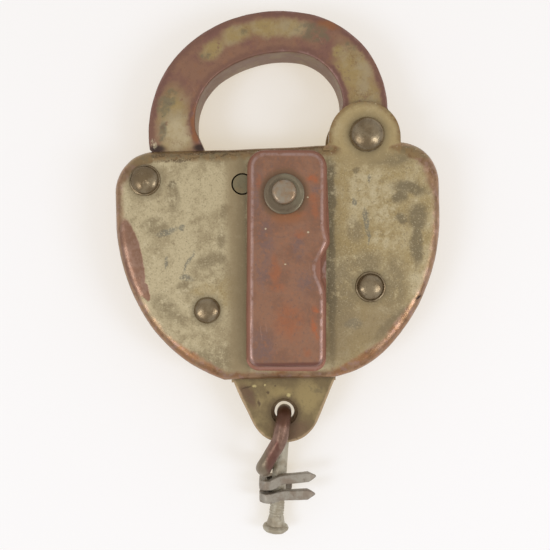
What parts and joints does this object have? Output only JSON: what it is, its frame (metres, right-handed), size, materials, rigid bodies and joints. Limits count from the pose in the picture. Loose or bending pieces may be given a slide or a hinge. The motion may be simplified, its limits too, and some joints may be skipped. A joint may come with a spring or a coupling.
{
  "type": "padlock",
  "caption": "Old riveted switch padlock with a flat bow shackle, swinging dust cover, chain lug and a bent nail hooked through it.",
  "frame": {"origin": "on the surface that the lock lies on, under the middle of its box", "axes": "+Z out of the front of the case, +Y towards the shackle, +X to the right as seen from the front"},
  "size_m": [0.0768, 0.1272, 0.0213],
  "materials": {
    "plate": "tarnished plating worn to brown copper at the rim",
    "back": "dull brown patina",
    "lug": "dull olive tan",
    "shackle": "brown patina with worn plating",
    "rivet": "worn glossy brown",
    "cover": "red-brown patina",
    "washer": "worn grey-brown",
    "work": "dull unpolished",
    "post": "dull steel",
    "spring": "blued spring strip",
    "nail": "rusted, grey where rubbed",
    "wire": "rusted grey-brown"
  },
  "bodies": {
    "case": {"front_plate": "plate", "back_plate": "back", "chain_lug": "lug", "lug_spacers_back": "work", "lug_spacers_front": "work", "shackle_rivet": "rivet", "rivet_top_left": "rivet", "rivet_lower_left": "rivet", "rivet_lower_right": "rivet", "cover_spacer": "washer", "cover_washer": "washer", "cover_rivet": "washer", "guide_post": "post", "spring_post": "post", "lever_post": "post", "lever_collar": "post", "key_post": "post"},
    "shackle": {"shackle": "shackle"},
    "cover": {"dust_cover": "cover"},
    "bolt": {"bolt": "work", "bolt_stump": "work"},
    "lever_1": {"lever_1": "work", "lever_spring_1": "spring"},
    "lever_2": {"lever_2": "work", "lever_spring_2": "spring"},
    "lever_3": {"lever_3": "work", "lever_spring_3": "spring"},
    "nail": {"bent_nail": "nail", "wire_staple": "wire"}
  },
  "joints": [
    {"name": "shackle_swing", "type": "hinge", "parent": "case", "child": "shackle", "pos_m": [0.0213, 0.03325, 0.008], "axis": [0, 0, -1], "range_deg": [0, 70]},
    {"name": "cover_swing", "type": "hinge", "parent": "case", "child": "cover", "pos_m": [0.0015, 0.01965, 0.017], "axis": [0, 0, 1], "range_deg": [-175, 95]},
    {"name": "bolt_slide", "type": "slide", "parent": "case", "child": "bolt", "axis": [-1, 0, 0], "range_m": [0, 0.0048]},
    {"name": "nail_swing", "type": "hinge", "parent": "case", "child": "nail", "pos_m": [0.0005, -0.0321, 0.0088], "axis": [0, 0, 1], "range_deg": [-80, 90]},
    {"name": "lever_1_drop", "type": "hinge", "parent": "case", "child": "lever_1", "pos_m": [0.0175, 0.01085, 0.008], "axis": [0, 0, 1], "range_deg": [0, 4]},
    {"name": "lever_2_drop", "type": "hinge", "parent": "case", "child": "lever_2", "pos_m": [0.0175, 0.01085, 0.0097], "axis": [0, 0, 1], "range_deg": [0, 5]},
    {"name": "lever_3_drop", "type": "hinge", "parent": "case", "child": "lever_3", "pos_m": [0.0175, 0.01085, 0.0114], "axis": [0, 0, 1], "range_deg": [0, 6]}
  ],
  "couplings": [
    {"joint": "lever_1_drop", "follows": "bolt_slide", "rad_per_m": 14.544},
    {"joint": "lever_2_drop", "follows": "bolt_slide", "rad_per_m": 18.18},
    {"joint": "lever_3_drop", "follows": "bolt_slide", "rad_per_m": 21.817}
  ]
}
